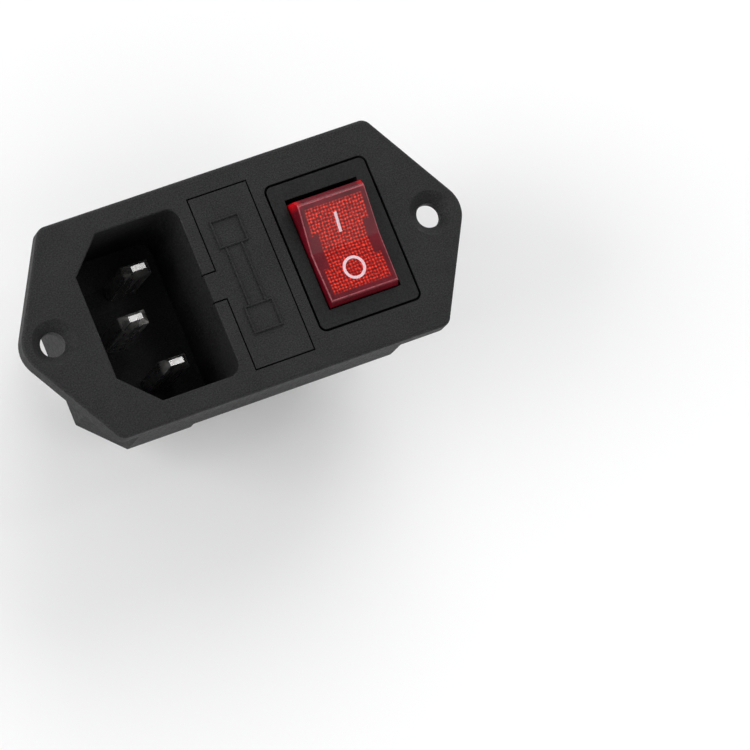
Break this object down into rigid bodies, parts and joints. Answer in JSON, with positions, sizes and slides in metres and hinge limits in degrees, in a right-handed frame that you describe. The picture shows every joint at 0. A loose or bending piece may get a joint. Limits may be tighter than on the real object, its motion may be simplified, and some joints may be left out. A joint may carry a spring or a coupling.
{
  "type": "power entry module",
  "caption": "Panel power entry module: appliance inlet, fuse drawer and red lit rocker switch side by side in a black flanged housing.",
  "frame": {"origin": "on the panel plane (the flange's rear face), midway between the two screw holes", "axes": "+X from the inlet to the switch, +Y across the module towards the end of the rocker marked with a bar, +Z out of the front"},
  "size_m": [0.066, 0.031, 0.0326],
  "materials": {
    "black_plastic": "satin",
    "red_lens": "translucent",
    "lamp_glass": "clear",
    "resistor_body": "satin",
    "nickel": "satin",
    "tinned_brass": "satin",
    "bare_brass": "satin",
    "silver": "satin",
    "spring_steel": "satin",
    "fuse_glass": "clear"
  },
  "bodies": {
    "root": {"housing": "black_plastic", "switch_body": "black_plastic", "pin_line": "nickel", "pin_neutral": "nickel", "pin_earth": "nickel", "terminal_neutral": "tinned_brass", "terminal_earth": "tinned_brass", "terminal_fused_line": "tinned_brass", "link_strip": "tinned_brass", "fuse_contact_line": "tinned_brass", "fuse_contact_load": "tinned_brass", "fuse_rivet_line": "nickel", "fuse_rivet_load": "nickel", "switch_common_left": "tinned_brass", "switch_fixed_left": "tinned_brass", "fixed_contact_left": "silver", "switch_common_right": "tinned_brass", "switch_fixed_right": "tinned_brass", "fixed_contact_right": "silver"},
    "drawer": {"fuse_drawer": "black_plastic", "fuse_glass": "fuse_glass", "fuse_cap_line": "nickel", "fuse_cap_load": "nickel", "fuse_wire": "tinned_brass", "spare_fuse_glass": "fuse_glass", "spare_fuse_cap_line": "nickel", "spare_fuse_cap_load": "nickel", "spare_fuse_wire": "tinned_brass"},
    "rocker_group": {"rocker": "red_lens", "neon_lamp": "lamp_glass", "lamp_resistor": "resistor_body"},
    "arm_left_group": {"contact_arm_left": "bare_brass", "moving_contact_left": "silver"},
    "plunger_left_group": {"plunger_left": "bare_brass", "plunger_spring_left": "spring_steel"},
    "arm_right_group": {"contact_arm_right": "bare_brass", "moving_contact_right": "silver"},
    "plunger_right_group": {"plunger_right": "bare_brass", "plunger_spring_right": "spring_steel"}
  },
  "joints": [
    {"name": "fuse_drawer_slide", "type": "slide", "parent": "root", "child": "drawer", "axis": [0, 0, 1], "range_m": [0, 0.0133]},
    {"name": "rocker_hinge", "type": "hinge", "parent": "root", "child": "rocker_group", "pos_m": [0.01482, 0, 0.0005], "axis": [-1, 0, 0], "range_deg": [0, 15]},
    {"name": "contact_arm_left_hinge", "type": "hinge", "parent": "root", "child": "arm_left_group", "pos_m": [0.01142, 0, -0.00825], "axis": [1, 0, 0], "range_deg": [0, 13.5]},
    {"name": "plunger_left_slide", "type": "slide", "parent": "rocker_group", "child": "plunger_left_group", "axis": [0, -0.1305, 0.9914], "range_m": [0, 0.0003], "stiffness_N_per_m": 200, "deforming": ["plunger_spring_left"]},
    {"name": "contact_arm_right_hinge", "type": "hinge", "parent": "root", "child": "arm_right_group", "pos_m": [0.01822, 0, -0.00825], "axis": [1, 0, 0], "range_deg": [0, 13.5]},
    {"name": "plunger_right_slide", "type": "slide", "parent": "rocker_group", "child": "plunger_right_group", "axis": [0, -0.1305, 0.9914], "range_m": [0, 0.0003], "stiffness_N_per_m": 200, "deforming": ["plunger_spring_right"]}
  ],
  "couplings": [
    {"joint": "contact_arm_left_hinge", "follows": "rocker_hinge", "ratio": 0.9},
    {"joint": "contact_arm_right_hinge", "follows": "rocker_hinge", "ratio": 0.9}
  ]
}
